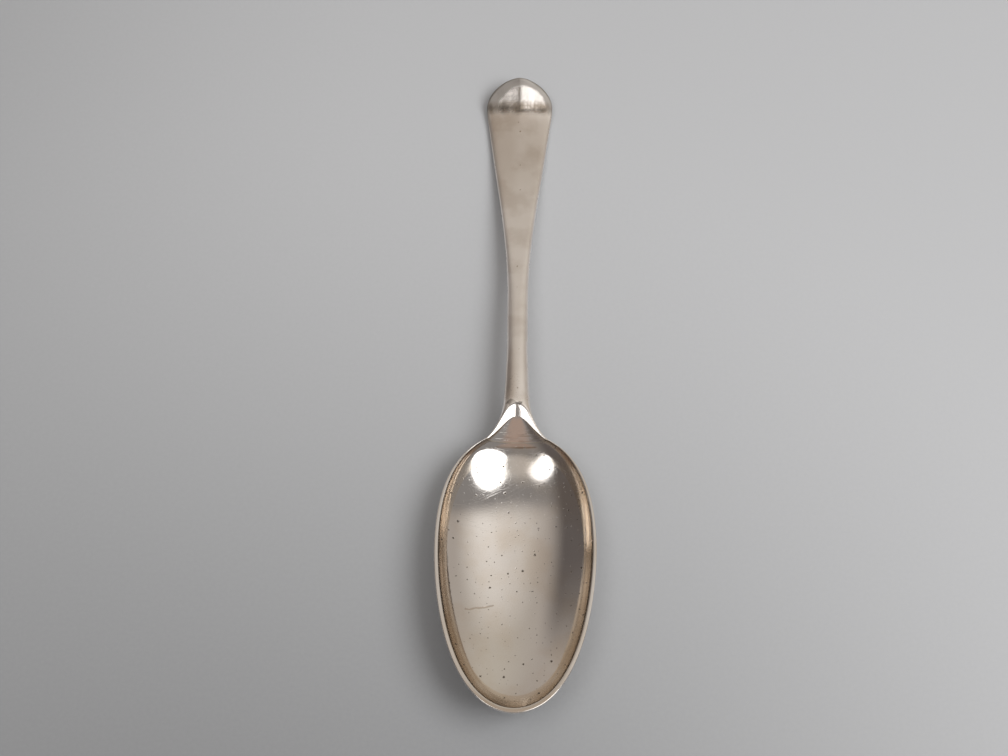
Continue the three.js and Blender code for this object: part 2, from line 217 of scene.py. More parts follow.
class Finish(PropertyGroup):
    """Colours of the silver"""

    silver: colour("Silver", "Polished silver", (0.80, 0.76, 0.72))
    # Tarnish also carries the painted shade on the handle's left side
    tarnish: colour("Tarnish", "Brown tarnish in the stains and scratches", (0.36, 0.25, 0.15))
    warm: colour("Warm silver", "Silver near the rim", (0.74, 0.585, 0.405))
    satin: colour("Satin silver", "Silver of the handle", (0.92, 0.868, 0.82))
    # The pit colour also carries the painted shade of the handle's end and the painted dark reflections on
    # the handle
    pit: colour("Pits", "Dark deposit in the pits", (0.13, 0.11, 0.09))
    solder: colour("Solder", "Solder in the joint", (0.5, 0.46, 0.39))


class Stage(PropertyGroup):
    """Camera, ground and light"""

    lens: number("Lens", "Focal length in mm on a 36 mm sensor", 60.7)
    distance: length("Camera distance", "Camera to the point it looks at", 492.0)
    look_x: length("Look at X", "Point on the table that the camera looks at", -3.75)
    look_y: length("Look at Y", "Point on the table that the camera looks at", 0.8)
    lean: angle("Camera lean", "Camera's tilt from straight above", 24.0)
    turn: angle("Camera turn", "Camera's turn about the vertical", 0.7)
    ground: colour("Ground", "Ground under the spoon", (0.495, 0.505, 0.52))


class Field:
    """A number that varies over a node tree's geometry, worked out by Math nodes"""

    def __init__(self, tree, socket):
        self.tree = tree
        self.socket = socket

    def math(self, operation, *values):
        node = self.tree.nodes.new("ShaderNodeMath")
        node.operation = operation
        for socket, value in zip(node.inputs, values):
            if isinstance(value, Field):
                self.tree.links.new(value.socket, socket)
            else:
                socket.default_value = value
        return Field(self.tree, node.outputs[0])

    def __add__(self, other):
        return self.math("ADD", self, other)

    def __sub__(self, other):
        return self.math("SUBTRACT", self, other)

    def __rsub__(self, other):
        return self.math("SUBTRACT", other, self)

    def __mul__(self, other):
        return self.math("MULTIPLY", self, other)

    def __truediv__(self, other):
        return self.math("DIVIDE", self, other)

    def __neg__(self):
        return self.math("MULTIPLY", self, -1.0)

    __radd__ = __add__
    __rmul__ = __mul__


def worked(operation, plain):
    """A function that takes numbers and fields of a node tree alike"""

    def work(*values):
        for value in values:
            if isinstance(value, Field):
                return value.math(operation, *values)
        return plain(*values)

    return work


sqrt = worked("SQRT", np.sqrt)
power = worked("POWER", np.power)
larger = worked("MAXIMUM", np.maximum)
smaller = worked("MINIMUM", np.minimum)
size = worked("ABSOLUTE", np.abs)
sine = worked("SINE", np.sin)
cosine = worked("COSINE", np.cos)
tangent = worked("TANGENT", np.tan)
arc_cosine = worked("ARCCOSINE", np.arccos)
above = worked("GREATER_THAN", lambda a, b: np.where(a > b, 1.0, 0.0))


def share(a):
    """a kept between 0 and 1"""
    return smaller(larger(a, 0.0), 1.0)


def pick(test, yes, no):
    return no + (yes - no) * test


def eased(a):
    """0 to 1 with level ends"""
    t = share(a)
    return t * t * (3.0 - 2.0 * t)


def fullness(v, square):
    """Section curve: 1 in the middle and 0 at the side"""
    return sqrt(larger(1.0 - power(size(v), square), 0.0))


def egg(u):
    return sqrt(larger(1.0 - u * u, 0.0)) * (1.0 + EGG_HEEL * u + EGG_FULL * u * u)


EGG_STEPS = 4001
EGG_PEAK = float(egg(np.linspace(-1, 1, EGG_STEPS)).max())


# Node trees


def new_node(tree, kind, **settings):
    node = tree.nodes.new(kind)
    for key, value in settings.items():
        setattr(node, key, value)
    return node


def empty_material(name):
    """A material without nodes, its tree and the place in the object"""
    material = bpy.data.materials.new(name)
    material.use_nodes = True
    tree = material.node_tree
    tree.nodes.clear()
    return material, tree, new_node(tree, "ShaderNodeTexCoord").outputs["Object"]


def attribute(tree, name):
    return Field(tree, new_node(tree, "ShaderNodeAttribute", attribute_name=name).outputs["Fac"])


def parts(tree, vector):
    node = new_node(tree, "ShaderNodeSeparateXYZ")
    tree.links.new(vector, node.inputs[0])
    return [Field(tree, socket) for socket in node.outputs]


def joined(tree, *values):
    node = new_node(tree, "ShaderNodeCombineXYZ")
    for socket, value in zip(node.inputs, values):
        if isinstance(value, Field):
            tree.links.new(value.socket, socket)
        else:
            socket.default_value = value
    return node.outputs[0]


def noise(tree, vector, scale, detail=2.0):
    node = new_node(tree, "ShaderNodeTexNoise")
    tree.links.new(vector, node.inputs["Vector"])
    node.inputs["Scale"].default_value = scale
    node.inputs["Detail"].default_value = detail
    return Field(tree, node.outputs[0])


# Curves of the bowl, for numbers and for fields


def along(y, tip, close):
    """Place in an egg outline, -1 at its tip and 1 where it closes"""
    return (2.0 * y - tip - close) / (close - tip)


def outer_scale(s):
    return s.width / (2.0 * EGG_PEAK)


def inner_scale(s):
    return (s.width / 2.0 - s.rim_width) / EGG_PEAK


def inner_tip(s):
    return s.rim_tip_width - s.bowl_length


def inner_close(s):
    return s.closing - s.rim_heel


def bowl_half(s, y):
    return outer_scale(s) * egg(along(y, -s.bowl_length, s.closing))


def arch_half(s, y):
    down = larger(s.reach - y, 0.0)
    return sqrt(2.0 * s.arch * down + s.flare * down * down * down)


def hollow_half(s, y):
    oval = inner_scale(s) * egg(along(y, inner_tip(s), inner_close(s)))
    return larger(oval, arch_half(s, y) * above(y, s.reach * ARCH_FROM))


def shoulder_z(s):
    return s.wall + s.depth - s.deepest * tangent(s.rim_tilt)


def rim_z(s, y):
    return shoulder_z(s) - y * tangent(s.rim_tilt)


def lip_z(s, y):
    """Height where a rounded edge of the rim meets its wall"""
    return rim_z(s, y) - s.edge


def apex_z(s):
    return shoulder_z(s) + s.top


def tip_rise(s, y, tip):
    q = share((-s.deepest - y) / (-s.deepest - tip))
    return 1.0 - fullness(q, TIP_SQUARE)


def hollow_z(s, out, lip):
    """Hollow at a share of the way out from its deepest place to its lip"""
    return lip - (lip - s.wall) * fullness(out, HOLLOW_SQUARE)


def bowl_back_z(s, y):
    heel = s.back_rise * power(larger(1.0 + y / s.deepest, 0.0), BACK_EASE)
    tip = lip_z(s, -s.bowl_length) * tip_rise(s, y, -s.bowl_length)
    return pick(above(y, -s.deepest), heel, tip)


def back_square(s, y):
    return BOWL_SQUARE + (BACK_SQUARE - BOWL_SQUARE) * eased((y + s.reach) / (s.reach + s.heel_length))


def bowl_under_z(s, x, y):
    side = lip_z(s, y)
    v = x / (bowl_half(s, y) + TINY)
    return side - (side - bowl_back_z(s, y)) * fullness(v, back_square(s, y))


# Bowl, a node tree that bends a grid: columns run round the rim, rings from the
# middle of the hollow over the rim to the middle of the back

ROUND_SHARE = 0.9        # columns on the egg outline, the others follow the joint
HOLLOW_SHARE = 0.45      # rings up to the hollow's lip
INNER_EDGE_SHARE = 0.48
RIM_SHARE = 0.5
OUTER_EDGE_SHARE = 0.53
EDGE_LIMIT = 0.45        # share of the rim's width that each rounding may take
A_LITTLE = 1e-4
ROUND_OFF = 1e-6
SPREAD = "spread"        # attribute, see the silver below


def outline(s, t, tip, close, scale):
    """A point of an egg outline, and the share of the way there that the joint leaves"""
    start = arc_cosine(along(-s.gap, tip, close))
    round_part = share(t / ROUND_SHARE) * (2.0 * HALF_TURN - 2.0 * start)
    joint_part = share((t - ROUND_SHARE) / (1.0 - ROUND_SHARE)) * 2.0 * start
    turn = start + round_part + joint_part
    u = cosine(turn)
    x = scale * sine(turn) * (1.0 + EGG_HEEL * u + EGG_FULL * u * u)
    y = (tip + close) / 2.0 + u * (close - tip) / 2.0
    left = smaller((s.deepest - s.gap) / larger(s.deepest + y, A_LITTLE) * (1.0 + ROUND_OFF), 1.0)
    return x, y, left


def toward(s, x, y, out):
    """A place at a share of the way from the deepest place to x, y"""
    return x * out, (y + s.deepest) * out - s.deepest


def bowl_point(s, t, k):
    """Where the grid's point at column share t and ring share k comes to lie"""
    lip_x, lip_y, inner_left = outline(s, t, inner_tip(s), inner_close(s), inner_scale(s))
    rim_x, rim_y, outer_left = outline(s, t, -s.bowl_length, s.closing, outer_scale(s))
    inner_x, inner_y = toward(s, lip_x, lip_y, inner_left)
    outer_x, outer_y = toward(s, rim_x, rim_y, outer_left)
    across = sqrt((outer_x - inner_x) * (outer_x - inner_x) + (outer_y - inner_y) * (outer_y - inner_y))
    # Over the rim: a rounded edge, the flat and the other rounded edge
    inner_edge = share((k - HOLLOW_SHARE) / (INNER_EDGE_SHARE - HOLLOW_SHARE)) * QUARTER_TURN
    flat = share((k - INNER_EDGE_SHARE) / (RIM_SHARE - INNER_EDGE_SHARE))
    outer_edge = share((k - RIM_SHARE) / (OUTER_EDGE_SHARE - RIM_SHARE)) * QUARTER_TURN
    inner_run = smaller(s.edge_in, across * EDGE_LIMIT)
    outer_run = smaller(s.edge, across * EDGE_LIMIT)
    rounding = inner_run * (1.0 - cosine(inner_edge)) + outer_run * sine(outer_edge)
    way = rounding + (across - inner_run - outer_run) * flat
    lift = s.edge * (sine(inner_edge) - (1.0 - cosine(outer_edge)))
    # Along the joint the shell is cut straight down instead
    joint_side = above(t, ROUND_SHARE + A_LITTLE)
    cut = share((k - HOLLOW_SHARE) / (OUTER_EDGE_SHARE - HOLLOW_SHARE))
    to_outer = pick(joint_side, cut, way / (across + A_LITTLE * A_LITTLE))
    edge_x = inner_x + (outer_x - inner_x) * to_outer
    edge_y = inner_y + (outer_y - inner_y) * to_outer
    # Inwards from the rim, over the hollow or under the back
    hollow = sine(share(k / HOLLOW_SHARE) * QUARTER_TURN)
    back = cosine(share((k - OUTER_EDGE_SHARE) / (1.0 - OUTER_EDGE_SHARE)) * QUARTER_TURN)
    x, y = toward(s, edge_x, edge_y, hollow * back)
    lip = lip_z(s, lip_y)
    high = hollow_z(s, inner_left, lip)
    low = bowl_under_z(s, outer_x, outer_y)
    rim = pick(joint_side, high + (low - high) * cut, lip_z(s, edge_y) + lift)
    past_edge = above(k, OUTER_EDGE_SHARE + A_LITTLE)
    on_rim = above(k, HOLLOW_SHARE + A_LITTLE)
    shell = pick(past_edge, bowl_under_z(s, x, y), hollow_z(s, hollow * inner_left, lip))
    z = pick(on_rim * (1.0 - past_edge), rim, shell)
    under = share((k - OUTER_EDGE_SHARE) / (1.0 - OUTER_EDGE_SHARE))
    return x, y, larger(z - s.wear, 0.0), hollow * inner_left + cut + under


def sizes_of(group):
    """The properties of a group of sizes, without Blender's own"""
    return [p for p in group.bl_rna.properties if p.identifier not in ("name", "rna_type")]


def bowl_tree():
    tree = bpy.data.node_groups.new("Bowl shell", "GeometryNodeTree")
    sockets = {}
    for prop in sizes_of(BowlSizes):
        item = tree.interface.new_socket(prop.name, in_out="INPUT", socket_type="NodeSocketFloat")
        item.description = prop.description
        sockets[prop.identifier] = item.identifier
    for name, kind in (("Columns", "Int"), ("Rings", "Int"), ("Silver", "Material")):
        item = tree.interface.new_socket(name, in_out="INPUT", socket_type="NodeSocket" + kind)
        sockets[name] = item.identifier
    tree.interface.new_socket("Bowl", in_out="OUTPUT", socket_type="NodeSocketGeometry")

    place = {socket.identifier: socket for socket in new_node(tree, "NodeGroupInput").outputs}
    given = {key: place[socket] for key, socket in sockets.items()}
    grid = new_node(tree, "GeometryNodeMeshGrid")
    u, v, _ = parts(tree, new_node(tree, "GeometryNodeInputPosition").outputs[0])
    fields = SimpleNamespace(**{key: Field(tree, socket) for key, socket in given.items()})
    x, y, z, spread = bowl_point(fields, u + 0.5, v + 0.5)
    keep = new_node(tree, "GeometryNodeStoreNamedAttribute", data_type="FLOAT", domain="POINT")
    bend = new_node(tree, "GeometryNodeSetPosition")
    merge = new_node(tree, "GeometryNodeMergeByDistance")
    smooth = new_node(tree, "GeometryNodeSetShadeSmooth")
    real = new_node(tree, "GeometryNodeRealizeInstances")
    silver = new_node(tree, "GeometryNodeSetMaterial")
    result = new_node(tree, "NodeGroupOutput")
    keep.inputs["Name"].default_value = SPREAD
    merge.inputs["Distance"].default_value = SAME_POINT
    chain = (grid, keep, bend, merge, smooth, real, silver)
    links = [(before.outputs[0], after.inputs["Geometry"]) for before, after in zip(chain, chain[1:])]
    links += [
        (given["Columns"], grid.inputs["Vertices X"]),
        (given["Rings"], grid.inputs["Vertices Y"]),
        (spread.socket, keep.inputs["Value"]),
        (joined(tree, x, y + JOINT_Y, z), bend.inputs["Position"]),
        (given["Silver"], silver.inputs["Material"]),
        (silver.outputs[0], result.inputs[0]),
    ]
    for source, target in links:
        tree.links.new(source, target)
    return tree, sockets


# Handle, sections from the joint to the end


def through(knots, y):
    """A curve through knots (y, value, slope), each stretch a cubic"""
    inside = np.clip(y, knots[0][0], knots[-1][0])
    value = np.zeros_like(inside)
    for (y0, v0, s0), (y1, v1, s1) in zip(knots, knots[1:]):
        span = y1 - y0
        t = np.clip((inside - y0) / span, 0, 1)
        rest = 1 - t
        ends = v0 * rest * rest * (1 + 2 * t) + v1 * t * t * (3 - 2 * t)
        value = np.where(inside >= y0, ends + span * t * rest * (s0 * rest - s1 * t), value)
    return value


def soft_min(a, b, reach):
    """The lower of two surfaces, with the crease between them rounded"""
    near = np.maximum(reach - np.abs(a - b), 0) / reach
    return np.minimum(a, b) - near * near * reach / 4


class HandleShape:
    """The curves of the handle, worked out from its sizes and the bowl's"""

    def __init__(self, bowl, handle):
        self.bowl = bowl
        self.handle = handle
        h = handle
        self.shoulder_half = float(bowl_half(bowl, 0.0))
        t = np.linspace((1 + ROUND_SHARE) / 2, ROUND_SHARE + (1 - ROUND_SHARE) * A_LITTLE, JOINT_STEPS)
        lip_x, lip_y, left = outline(bowl, t, inner_tip(bowl), inner_close(bowl), inner_scale(bowl))
        self.joint_x = np.abs(lip_x * left)
        self.joint_hollow = hollow_z(bowl, left, lip_z(bowl, lip_y))
        self.stem_half = h.stem_width / 2
        self.end_half = h.end_width / 2
        self.straight_end = h.neck_length + h.straight
        self.round_start = h.handle_length - h.end_round
        self.rest_at = h.handle_length - h.rest
        widening = self.round_start - self.straight_end
        gained = (self.end_half - self.stem_half) * WIDEN_SHARE
        widest_at = self.straight_end + widening * WIDEN_AT
        self.widen = (
            (self.straight_end, self.stem_half, 0),
            (widest_at, self.stem_half + gained, WIDEN_SPEED * gained / widening),
            (
                self.round_start - widening * WIDE_LEFT,
                self.stem_half + (self.end_half - self.stem_half) * WIDE_SHARE,
                WIDE_SPEED * gained / widening,
            ),
            (self.round_start, self.end_half, 0),
        )
        shoulder = float(shoulder_z(bowl))
        crest = shoulder + h.stem_rise
        fall = crest - h.end_depth
        run = self.rest_at - h.crest_at
        fall_at = h.crest_at + run * FALL_AT
        turn = h.end_rise / h.rest
        self.crest = (
            (0, shoulder, math.tan(h.facet_slope)),
            (h.crest_at, crest, 0),
            (fall_at, crest - fall * FALL_SHARE, -FALL_SPEED * fall / run),
            (self.rest_at, h.end_depth, 0),
            (h.handle_length - h.turn, h.end_depth + h.end_rise * TURN_SHARE, turn * TURN_SPEED),
            (h.handle_length - h.curl, h.end_depth + h.end_rise * CURL_SHARE, turn * CURL_SPEED),
            (h.handle_length, h.end_depth + h.end_rise, turn * TURN_END_SPEED),
        )
        self.depth = (
            (bowl.heel_length, h.stem_depth, THIN_SLOPE),
            (fall_at, h.end_depth + (h.stem_depth - h.end_depth) * THIN_SHARE, THIN_SLOPE),
            (self.rest_at, h.end_depth, 0),
            (h.handle_length, h.end_depth - h.end_thin, THIN_SLOPE),
        )
        joint_back = float(bowl_back_z(bowl, -ROUND_OFF))
        slope = (joint_back - float(bowl_back_z(bowl, -2 * ROUND_OFF))) / ROUND_OFF
        heel = bowl.heel_length
        heel_top = float(through(self.crest, np.array(heel)))
        self.heel_back = ((0, joint_back, slope), (heel, heel_top - h.stem_depth, 0))
        lip = float(lip_z(bowl, 0.0))
        self.heel_side = ((0, lip, -math.tan(bowl.rim_tilt)), (heel, heel_top - h.stem_depth / 2, 0))
        ridge_start = h.handle_length - h.ridge
        self.top_square = (
            (0, SHOULDER_SQUARE, 0),
            (heel, STEM_SQUARE, 0),
            (self.straight_end, STEM_SQUARE, 0),
            (ridge_start, END_SQUARE, 0),
            (self.round_start, END_SQUARE, 0),
            (h.handle_length - h.turn / 2, CURL_SQUARE, 0),
        )
        self.ridge = (
            (ridge_start, 0, 0),
            (self.rest_at, RIDGE_REST_FALL, 2 * RIDGE_REST_FALL / (self.rest_at - ridge_start)),
            (h.handle_length - h.ridge_full, RIDGE_FALL, 0),
        )
        self.drop = (
            (-h.drop_length, h.drop_tip, (h.drop_height - h.drop_tip) / h.drop_length),
            (0, h.drop_height, 0),
            (h.drop_root, -h.drop_sink, 0),
        )

    def round_share(self, y):
        """0 where the round end starts and 1 at the end"""
        return np.clip((y - self.round_start) / self.handle.end_round, 0, 1)

    def outer_half(self, y):
        h = self.handle
        s = np.clip(1 - y / h.neck_length, 0, 1)
        neck = self.stem_half + (self.shoulder_half - self.stem_half) * (
            NECK_TAPER * s + (1 - NECK_TAPER) * s**NECK_FLARE
        )
        end = self.end_half * (1 - self.round_share(y)**END_CURVE) ** (1 / END_CURVE)
        handle = np.where(y > self.round_start, end, through(self.widen, y))
        handle = np.where(y < h.neck_length, neck, handle)
        return np.where(y < 0, bowl_half(self.bowl, np.minimum(y, 0.0)), handle)

    def end_edge(self, y):
        """1 along the handle, falling to 0 where the end's edge closes"""
        h = self.handle
        q = np.clip((y - h.handle_length + h.end_edge) / h.end_edge, 0, 1)
        return fullness(q, EDGE_SQUARE)

    def share_out(self, x, y):
        """Share across the handle, and in its round end the share of the way out"""
        q = self.round_share(y)
        end = (np.abs(x / self.end_half) ** END_CURVE + q**END_CURVE) ** (1 / END_CURVE)
        return np.where(q > 0, np.minimum(end, 1), np.abs(self.share_across(x, y)))

    def crest_z(self, y):
        return through(self.crest, y)

    def back_z(self, y):
        stem = self.crest_z(y) - through(self.depth, y)
        heel = through(self.heel_back, y)
        bowl = bowl_back_z(self.bowl, np.minimum(y, -TINY))
        return np.where(y < 0, bowl, np.where(y < self.bowl.heel_length, heel, stem))

    def side_z(self, y):
        stem = (self.crest_z(y) + self.back_z(y)) / 2
        heel = through(self.heel_side, y)
        return np.where(y < 0, lip_z(self.bowl, y), np.where(y < self.bowl.heel_length, heel, stem))

    def share_across(self, x, y):
        return np.clip(x / np.maximum(self.outer_half(y), TINY), -1, 1)

    def plain_top(self, x, y):
        away = np.hypot(x, RIDGE_ROUND) - RIDGE_ROUND
        fall = 1 - through(self.ridge, y) * (away / through(self.widen, y)) ** RIDGE_CURVE
        rise = self.crest_z(y) - self.side_z(y)
        out = self.share_out(x, y)
        return self.side_z(y) + rise * fullness(out, through(self.top_square, y)) * fall

    def facets(self, x, y):
        h = self.handle
        s = self.bowl
        fall = math.tan(h.facet_slope)
        spread = (fall * s.reach - s.top) / float(hollow_half(s, 0.0))
        across = np.hypot(x, h.facet_valley) - h.facet_valley
        return float(apex_z(s)) - h.facet_drop + fall * (y - s.reach) + spread * across

    def heel_wall(self, x, y):
        """The hollow past the joint, where it climbs to its top in the stem"""
        s = self.bowl
        across = np.clip(np.abs(x) / np.maximum(hollow_half(s, y), TINY), 0, 1)
        joint_lip = float(lip_z(s, 0.0))
        at_joint = np.interp(across * self.joint_x[-1], self.joint_x, self.joint_hollow)
        joint_floor = self.joint_hollow[0]
        depth = (joint_lip - at_joint) / (joint_lip - joint_floor)
        up = np.clip(y / s.reach, 0, 1)
        depth += (fullness(across, HEEL_SQUARE) - depth) * up
        lip = joint_lip + (float(apex_z(s)) - joint_lip) * y / s.reach
        floor = joint_floor + (float(apex_z(s)) - joint_floor) * y / s.reach
        return lip - (lip - floor) * depth

    def hollow(self, x, y):
        outside = np.maximum(np.abs(x) - hollow_half(self.bowl, y), 0)
        return self.heel_wall(x, y) + outside * WALL_STEEP

    def facet_top(self, x, y):
        """The top with its facets, nowhere lower than the side"""
        top = soft_min(self.plain_top(x, y), self.facets(x, y), self.handle.facet_top)
        return np.maximum(top, self.side_z(y))

    def top_z(self, x, y):
        top = self.facet_top(x, y)
        return np.where(y < self.bowl.reach, soft_min(top, self.hollow(x, y), self.handle.crease), top)

    def under_z(self, x, y):
        v = self.share_across(x, y)
        rise = (self.side_z(y) - self.back_z(y)) * self.end_edge(y)
        return self.side_z(y) - rise * fullness(v, back_square(self.bowl, y))

    def drop_share(self, y):
        """0 where the drop's round tip starts and 1 at the tip"""
        h = self.handle
        return np.clip((h.drop_round - h.drop_length - y) / h.drop_round, 0, 1)

    def drop_half(self, y):
        q = self.drop_share(y)
        half = self.handle.drop_width / 2 * np.sqrt(1 - q * q)
        return np.minimum(half, self.outer_half(y) * DROP_INSIDE)

    def drop_z(self, x, y):
        """Underside of the drop"""
        q = self.drop_share(y)
        p = np.clip(x / np.maximum(self.drop_half(y), TINY), -1, 1)
        around = np.sqrt(q * q + p * p * (1 - q * q))
        height = np.maximum(through(self.drop, y), 0)
        return self.under_z(x, y) - height * fullness(np.minimum(around, 1), DROP_SQUARE)

    def hollow_edge(self, y):
        """Half width at which the hollow cuts the facets, found by halving"""
        low = np.zeros_like(y)
        high = hollow_half(self.bowl, y)
        for _ in range(HALVINGS):
            middle = (low + high) / 2
            inside = self.heel_wall(middle, y) < self.facet_top(middle, y)
            low = np.where(inside, middle, low)
            high = np.where(inside, high, middle)
        return np.where(y < self.bowl.reach, low, 0)


WALL_STEEP = 20.0
HALVINGS = 30
JOINT_STEPS = 200


def ladder(start, end, count, ease):
    """Values from start to end, even or closer together at the start, the end or both"""
    t = np.linspace(0, 1, count + 1)
    spaced = {
        "none": t,
        "start": 1 - np.cos(t * QUARTER_TURN),
        "end": np.sin(t * QUARTER_TURN),
        "both": (1 - np.cos(t * HALF_TURN)) / 2,
    }
    return start + (end - start) * spaced[ease]


def section(shape, y):
    """Closed sections of the handle at the places y, as x and z for each row"""
    y = y[:, None]
    outer = shape.outer_half(y)
    drop = shape.drop_half(y)
    edge = shape.hollow_edge(y)
    side = drop + (outer - drop) * ladder(1, 0, SECTION_SIDE, "start")
    tongue = drop * ladder(-1, 1, SECTION_DROP, "both")
    top = edge + (outer - edge) * ladder(1, 0, SECTION_TOP, "both")
    hollow = edge * ladder(1, -1, SECTION_HOLLOW, "both")
    under_x = np.hstack([-side[:, :-1], tongue, side[:, -2::-1]])
    top_x = np.hstack([top[:, 1:], hollow[:, 1:-1], -top[:, :0:-1]])
    x = np.hstack([under_x, top_x])
    under = np.hstack([
        shape.under_z(-side[:, :-1], y),
        shape.drop_z(tongue, y),
        shape.under_z(side[:, -2::-1], y),
    ])
    return x, np.hstack([under, shape.top_z(top_x, y)])


def rows_of_points(x, y, z):
    y = np.broadcast_to(y[:, None], x.shape)
    return np.stack([x, y, z], axis=-1)


def ring_faces(start, rows, columns):
    """Quads between rows of points that close on themselves"""
    faces = []
    for row in range(rows - 1):
        for column in range(columns):
            here = start + row * columns + column
            beside = start + row * columns + (column + 1) % columns
            faces.append((here, beside, beside + columns, here + columns))
    return faces


def clean(mesh, same_point):
    """Merge double points, turn the faces outward and smooth all but the sharp edges"""
    tidy = bmesh.new()
    tidy.from_mesh(mesh)
    if same_point:
        bmesh.ops.remove_doubles(tidy, verts=tidy.verts, dist=same_point)
    bmesh.ops.recalc_face_normals(tidy, faces=tidy.faces)
    tidy.to_mesh(mesh)
    tidy.free()
    mesh.shade_smooth()
    mesh.set_sharp_from_angle(angle=SHARP)


def linked(name, data):
    """A new object in the scene"""
    made = bpy.data.objects.new(name, data)
    bpy.context.scene.collection.objects.link(made)
    return made


def finished_mesh(name, points, faces, material, shape):
    """A closed, smooth mesh in the object's frame, from points in the joint's frame"""
    placed = points.reshape(-1, 3) + np.array([0, JOINT_Y, -shape.bowl.wear])
    placed[:, 2] = np.maximum(placed[:, 2], 0)
    mesh = bpy.data.meshes.new(name)
    mesh.from_pydata(placed.tolist(), [], faces)
    clean(mesh, SAME_POINT)
    mesh.materials.append(material)
    flat = np.empty(len(mesh.vertices) * 3)
    mesh.vertices.foreach_get("co", flat)
    place = flat.reshape(-1, 3)
    across = np.abs(shape.share_across(place[:, 0], place[:, 1] - JOINT_Y))
    mesh.attributes.new(SPREAD, "FLOAT", "POINT").data.foreach_set("value", across)
    return linked(name, mesh)


def handle_mesh(shape):
    """Points and faces of the handle with its drop"""
    s = shape.bowl
    h = shape.handle
    y = np.concatenate([
        ladder(0, s.reach, HEEL_ROWS, "end"),
        ladder(s.reach, s.heel_length, NECK_ROWS, "start")[1:],
        ladder(s.heel_length, shape.rest_at, STEM_ROWS, "none")[1:],
        ladder(shape.rest_at, h.handle_length, END_ROWS, "end")[1:],
    ])
    x, z = section(shape, y)
    body = rows_of_points(x, y, z).reshape(-1, 3)
    columns = x.shape[1]
    faces = ring_faces(0, len(y), columns)

    ty = ladder(0, -h.drop_length, TONGUE_ROWS, "end")
    row = ty[:, None]
    tx = shape.drop_half(row) * ladder(-1, 1, SECTION_DROP, "both")
    low = rows_of_points(tx, ty, shape.drop_z(tx, row))
    film = np.minimum(-row / h.bead, 1) * s.gap / 3
    high_z = np.maximum(shape.under_z(tx, row) - film, low[:, :, 2])
    high = rows_of_points(tx, ty, high_z)
    tongue = np.concatenate([low, high[:, ::-1]], axis=1)
    start = len(body)
    around = tongue.shape[1]
    faces += ring_faces(start, len(ty), around)

    first_drop = SECTION_SIDE
    last_drop = SECTION_SIDE + SECTION_DROP
    lap = [start + around - 1 - i for i in range(SECTION_DROP + 1)]
    cap = list(range(first_drop)) + lap + list(range(last_drop + 1, columns))
    faces.append(cap)
    return np.concatenate([body, tongue.reshape(-1, 3)]), faces


def seam_mesh(shape):
    """The solder: a film across the joint and a bead round the drop"""
    s = shape.bowl
    h = shape.handle
    x, z = section(shape, np.array([0.0]))
    kept = 1 - SEAM_RECESS
    middle_z = float(shape.side_z(np.array(0.0)))
    inset = rows_of_points(x * kept, np.array([0.0]), middle_z + (z - middle_z) * kept)[0]
    back = inset + np.array([0, -s.gap, 0])
    columns = len(inset)
    points = [inset, back]
    faces = ring_faces(0, 2, columns)
    faces.append(list(range(columns)))
    faces.append(list(range(2 * columns - 1, columns - 1, -1)))

    turn = np.linspace(0, 1, BEAD_STEPS + 1)
    y = -h.drop_length * np.sin(turn * HALF_TURN) ** BEAD_BEND
    x = shape.drop_half(y) * np.where(turn < 0.5, 1, -1)
    z = shape.under_z(x, y)
    route = np.stack([x, y, z], axis=-1)
    ahead = np.gradient(route, axis=0)
    ahead /= np.linalg.norm(ahead, axis=1, keepdims=True)
    up = np.array([0.0, 0.0, 1.0])
    out = np.cross(ahead, up)
    out /= np.linalg.norm(out, axis=1, keepdims=True)
    lift = np.cross(out, ahead)
    angles = np.linspace(0, 2 * HALF_TURN, BEAD_SIDES, endpoint=False)
    ring = np.cos(angles)[None, :, None] * out[:, None] + np.sin(angles)[None, :, None] * lift[:, None]
    bead = route[:, None] + h.bead * ring
    start = 2 * columns
    faces += ring_faces(start, len(route), BEAD_SIDES)
    faces.append([start + i for i in range(BEAD_SIDES)])
    last = start + (len(route) - 1) * BEAD_SIDES
    faces.append([last + BEAD_SIDES - 1 - i for i in range(BEAD_SIDES)])
    points.append(bead.reshape(-1, 3))
    return np.concatenate(points), faces


SEAM_RECESS = 0.004
BEAD_STEPS = 120
BEAD_SIDES = 12
BEAD_BEND = 0.8


# Silver. The attribute "spread" is the share of the way out in the hollow, 1 to 2 over the
# rim and 2 to 3 on the back, and on the handle the share of its half width


def ramp(field, low, high):
    """0 at low and 1 at high, eased between"""
    return eased((field - low) / (high - low))


def mixed(tree, under, over, amount):
    """One colour laid over another, each a socket or three numbers"""
    node = new_node(tree, "ShaderNodeMix", data_type="RGBA")
    tree.links.new(amount.socket, node.inputs[0])
    for socket, value in zip(node.inputs[6:8], (under, over)):
        if isinstance(value, bpy.types.NodeSocket):
            tree.links.new(value, socket)
        else:
            socket.default_value = (*value, 1)
    return node.outputs[2]


def new_group(name, made, **given):
    """A shader node group that takes a place and numbers and gives out numbers"""
    tree = bpy.data.node_groups.new(name, "ShaderNodeTree")
    tree.interface.new_socket("Place", in_out="INPUT", socket_type="NodeSocketVector")
    for key, value in given.items():
        item = tree.interface.new_socket(key.capitalize(), in_out="INPUT", socket_type="NodeSocketFloat")
        item.default_value = value
    for label in made:
        tree.interface.new_socket(label, in_out="OUTPUT", socket_type="NodeSocketFloat")
    inputs = new_node(tree, "NodeGroupInput").outputs
    return tree, inputs["Place"], [Field(tree, inputs[key.capitalize()]) for key in given]


def closed_group(tree, *made):
    result = new_node(tree, "NodeGroupOutput")
    for field, socket in zip(made, result.inputs):
        tree.links.new(field.socket, socket)
    return tree


